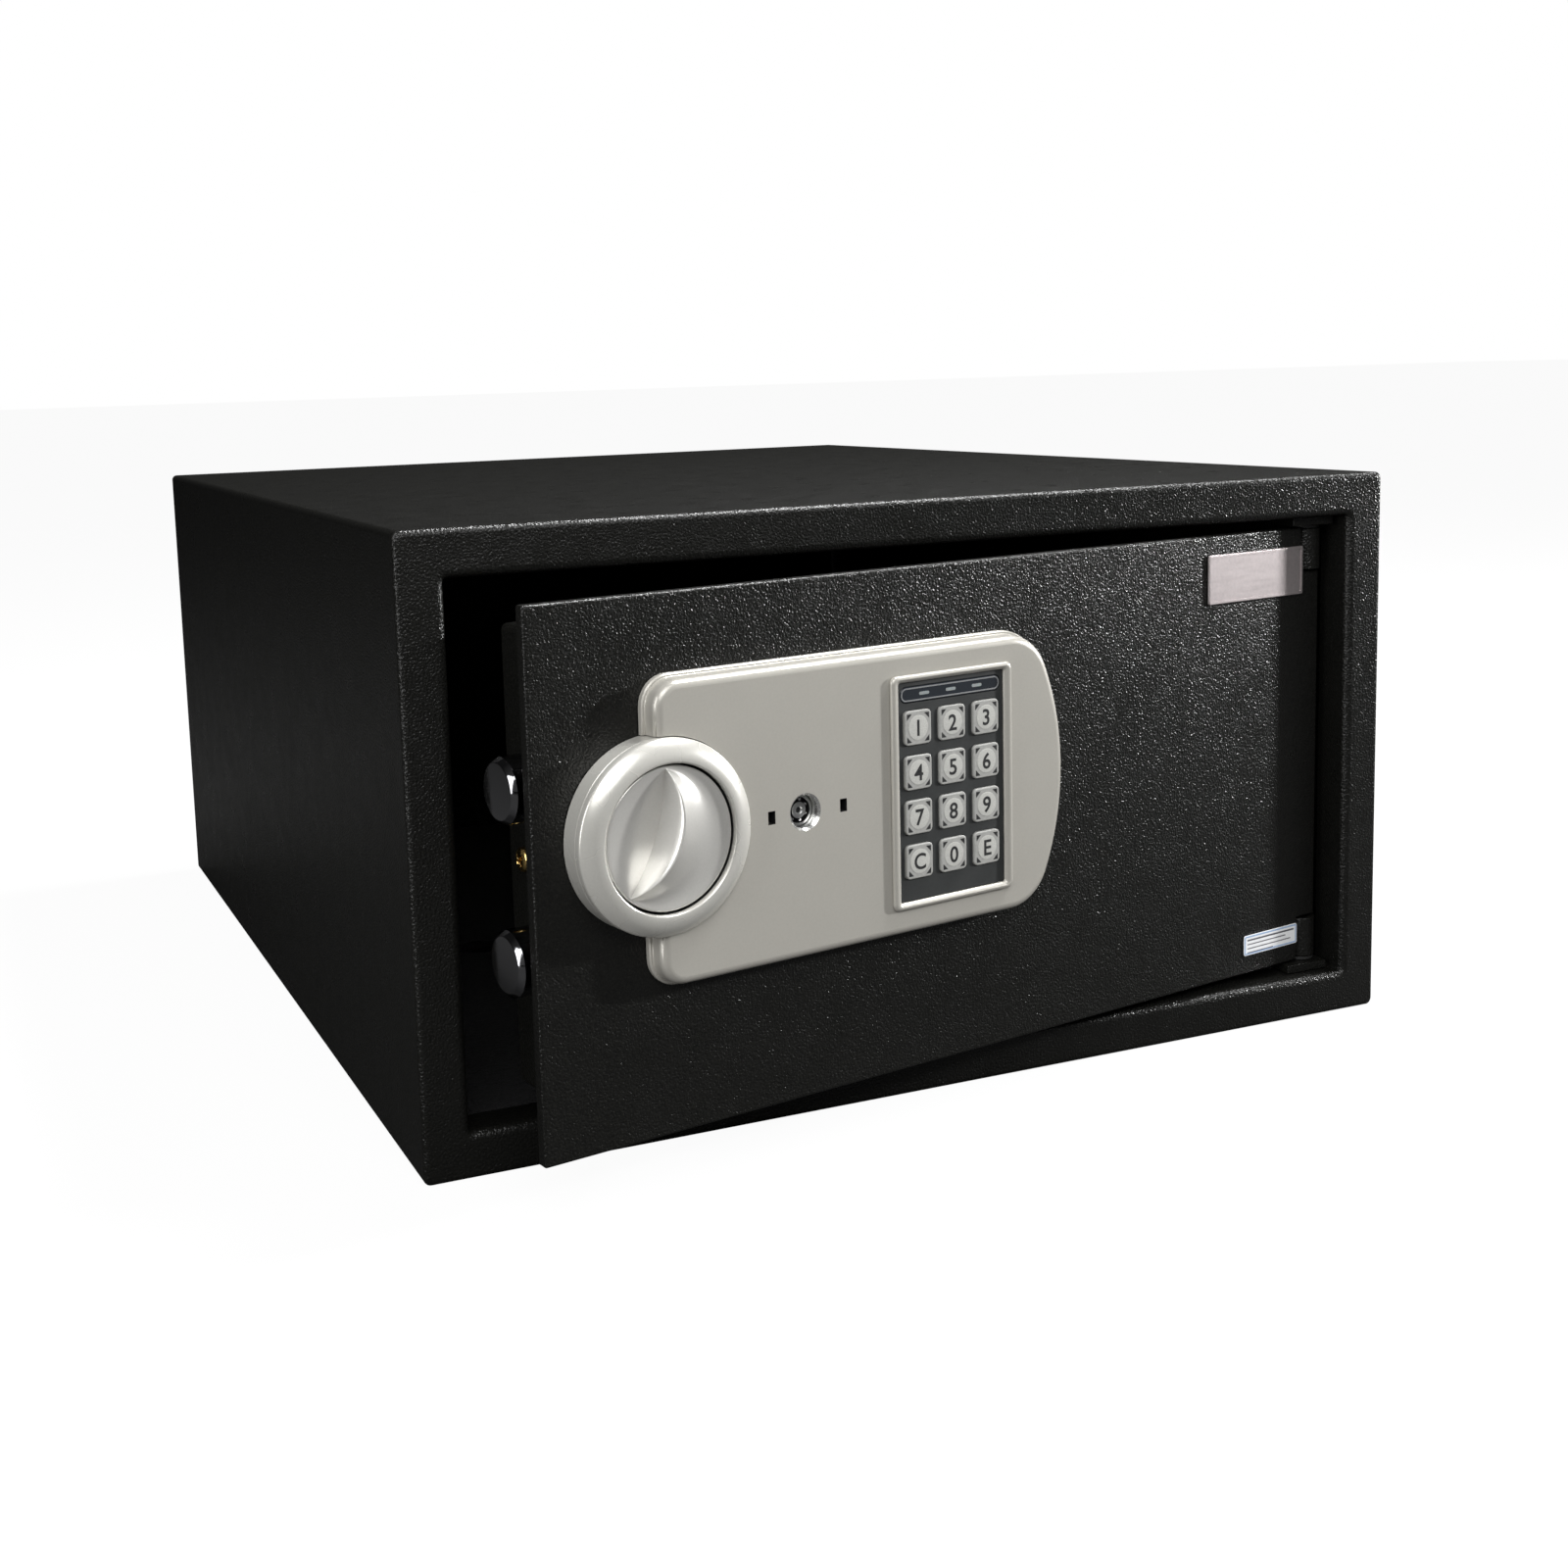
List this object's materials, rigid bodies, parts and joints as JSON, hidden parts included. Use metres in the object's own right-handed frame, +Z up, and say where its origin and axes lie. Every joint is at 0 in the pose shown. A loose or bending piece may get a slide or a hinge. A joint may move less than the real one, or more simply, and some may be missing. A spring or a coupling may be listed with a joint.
{
  "type": "in-room hotel safe",
  "caption": "Compact electronic in-room safe: black steel cabinet, recessed hinged door, keypad, turning knob and sliding lock bolts.",
  "frame": {"origin": "middle of the cabinet's underside", "axes": "+Z up, the door faces -Y, +X to the right as seen from the front"},
  "size_m": [0.366, 0.4982, 0.2],
  "materials": {
    "powder_coat": "black fine-textured powder coat",
    "silver_plastic": "satin silver paint on moulded plastic",
    "knob_silver": "bright satin silver",
    "chrome": "polished chrome plate",
    "zinc": "zinc-plated steel",
    "brass": "plain brass",
    "keypad_dark": "dark blue-grey satin",
    "key_grey": "light grey with black printed marks",
    "smoked_window": "smoked clear plastic",
    "led": "translucent epoxy",
    "silicone": "dark silicone rubber",
    "circuit_board": "green solder mask",
    "black_plastic": "moulded black plastic",
    "cell": "printed metal sleeve",
    "red_plastic": "red moulded plastic",
    "nameplate": "satin aluminium, blank",
    "label": null,
    "carpet": "dark grey needle felt",
    "spring_steel": "bright spring steel"
  },
  "bodies": {
    "cabinet": {"cabinet_wrap": "powder_coat", "front_frame": "powder_coat", "back_panel": "powder_coat", "floor_mat": "carpet", "hinge_bracket_lower": "powder_coat", "hinge_bracket_upper": "powder_coat", "hinge_washer_lower": "black_plastic", "hinge_washer_upper": "black_plastic"},
    "door": {"door_plate": "powder_coat", "hinge_knuckle_lower": "powder_coat", "hinge_knuckle_upper": "powder_coat", "door_inner_cover": "powder_coat", "nameplate": "nameplate", "maker_label": "label", "cover_screw_upper": "zinc", "cover_screw_lower": "zinc", "cover_side_screw": "brass", "control_board": "circuit_board", "battery_tray": "black_plastic", "battery_1": "cell", "battery_2": "cell", "battery_3": "cell", "battery_4": "cell", "lock_panel": "silver_plastic", "knob_ring": "silver_plastic", "key_lock_barrel": "zinc", "keypad_bezel": "silver_plastic", "keypad_plate": "keypad_dark", "indicator_window": "smoked_window", "indicator_led_1": "led", "indicator_led_2": "led", "indicator_led_3": "led", "key_mat": "silicone", "keypad_board": "circuit_board", "bolt_guide": "zinc", "solenoid": "zinc", "plunger_spring": "spring_steel"},
    "knob": {"knob": "knob_silver", "knob_cam": "zinc"},
    "bolts": {"bolt_carriage": "zinc", "bolt_upper": "chrome", "bolt_lower": "chrome"},
    "key_lock": {"key_lock_plug": "zinc", "key_lock_cam": "zinc"},
    "plunger": {"solenoid_plunger": "chrome"},
    "reset_button": {"reset_button": "red_plastic"},
    "battery_cover": {"battery_cover": "black_plastic"},
    "key_1": {"key_1": "key_grey"},
    "key_2": {"key_2": "key_grey"},
    "key_3": {"key_3": "key_grey"},
    "key_4": {"key_4": "key_grey"},
    "key_5": {"key_5": "key_grey"},
    "key_6": {"key_6": "key_grey"},
    "key_7": {"key_7": "key_grey"},
    "key_8": {"key_8": "key_grey"},
    "key_9": {"key_9": "key_grey"},
    "key_c": {"key_c": "key_grey"},
    "key_0": {"key_0": "key_grey"},
    "key_e": {"key_e": "key_grey"}
  },
  "joints": [
    {"name": "door_hinge", "type": "hinge", "parent": "cabinet", "child": "door", "pos_m": [0.1595, -0.206, 0.1], "axis": [0, 0, 1], "range_deg": [-10, 85]},
    {"name": "knob_turn", "type": "hinge", "parent": "door", "child": "knob", "pos_m": [-0.12107, -0.25953, 0.1115], "axis": [0.1736, -0.9848, 0], "range_deg": [0, 70]},
    {"name": "bolt_slide", "type": "slide", "parent": "door", "child": "bolts", "axis": [-0.9848, -0.1736, 0], "range_m": [0, 0.0103]},
    {"name": "key_lock_turn", "type": "hinge", "parent": "door", "child": "key_lock", "pos_m": [-0.07232, -0.25094, 0.1115], "axis": [0.1736, -0.9848, 0], "range_deg": [0, 90]},
    {"name": "plunger_slide", "type": "slide", "parent": "door", "child": "plunger", "axis": [0, 0, -1], "range_m": [0, 0.005], "stiffness_N_per_m": 200, "deforming": ["plunger_spring"]},
    {"name": "reset_button_press", "type": "slide", "parent": "door", "child": "reset_button", "axis": [0.1736, -0.9848, 0], "range_m": [0, 0.0015], "stiffness_N_per_m": 400},
    {"name": "battery_cover_slide", "type": "slide", "parent": "door", "child": "battery_cover", "axis": [0.9848, 0.1736, 0], "range_m": [0, 0.015]},
    {"name": "key_1_press", "type": "slide", "parent": "door", "child": "key_1", "axis": [-0.1736, 0.9848, 0], "range_m": [0, 0.001], "stiffness_N_per_m": 400},
    {"name": "key_2_press", "type": "slide", "parent": "door", "child": "key_2", "axis": [-0.1736, 0.9848, 0], "range_m": [0, 0.001], "stiffness_N_per_m": 400},
    {"name": "key_3_press", "type": "slide", "parent": "door", "child": "key_3", "axis": [-0.1736, 0.9848, 0], "range_m": [0, 0.001], "stiffness_N_per_m": 400},
    {"name": "key_4_press", "type": "slide", "parent": "door", "child": "key_4", "axis": [-0.1736, 0.9848, 0], "range_m": [0, 0.001], "stiffness_N_per_m": 400},
    {"name": "key_5_press", "type": "slide", "parent": "door", "child": "key_5", "axis": [-0.1736, 0.9848, 0], "range_m": [0, 0.001], "stiffness_N_per_m": 400},
    {"name": "key_6_press", "type": "slide", "parent": "door", "child": "key_6", "axis": [-0.1736, 0.9848, 0], "range_m": [0, 0.001], "stiffness_N_per_m": 400},
    {"name": "key_7_press", "type": "slide", "parent": "door", "child": "key_7", "axis": [-0.1736, 0.9848, 0], "range_m": [0, 0.001], "stiffness_N_per_m": 400},
    {"name": "key_8_press", "type": "slide", "parent": "door", "child": "key_8", "axis": [-0.1736, 0.9848, 0], "range_m": [0, 0.001], "stiffness_N_per_m": 400},
    {"name": "key_9_press", "type": "slide", "parent": "door", "child": "key_9", "axis": [-0.1736, 0.9848, 0], "range_m": [0, 0.001], "stiffness_N_per_m": 400},
    {"name": "key_c_press", "type": "slide", "parent": "door", "child": "key_c", "axis": [-0.1736, 0.9848, 0], "range_m": [0, 0.001], "stiffness_N_per_m": 400},
    {"name": "key_0_press", "type": "slide", "parent": "door", "child": "key_0", "axis": [-0.1736, 0.9848, 0], "range_m": [0, 0.001], "stiffness_N_per_m": 400},
    {"name": "key_e_press", "type": "slide", "parent": "door", "child": "key_e", "axis": [-0.1736, 0.9848, 0], "range_m": [0, 0.001], "stiffness_N_per_m": 400}
  ],
  "couplings": [
    {"joint": "knob_turn", "follows": "bolt_slide", "rad_per_m": 118.33}
  ]
}
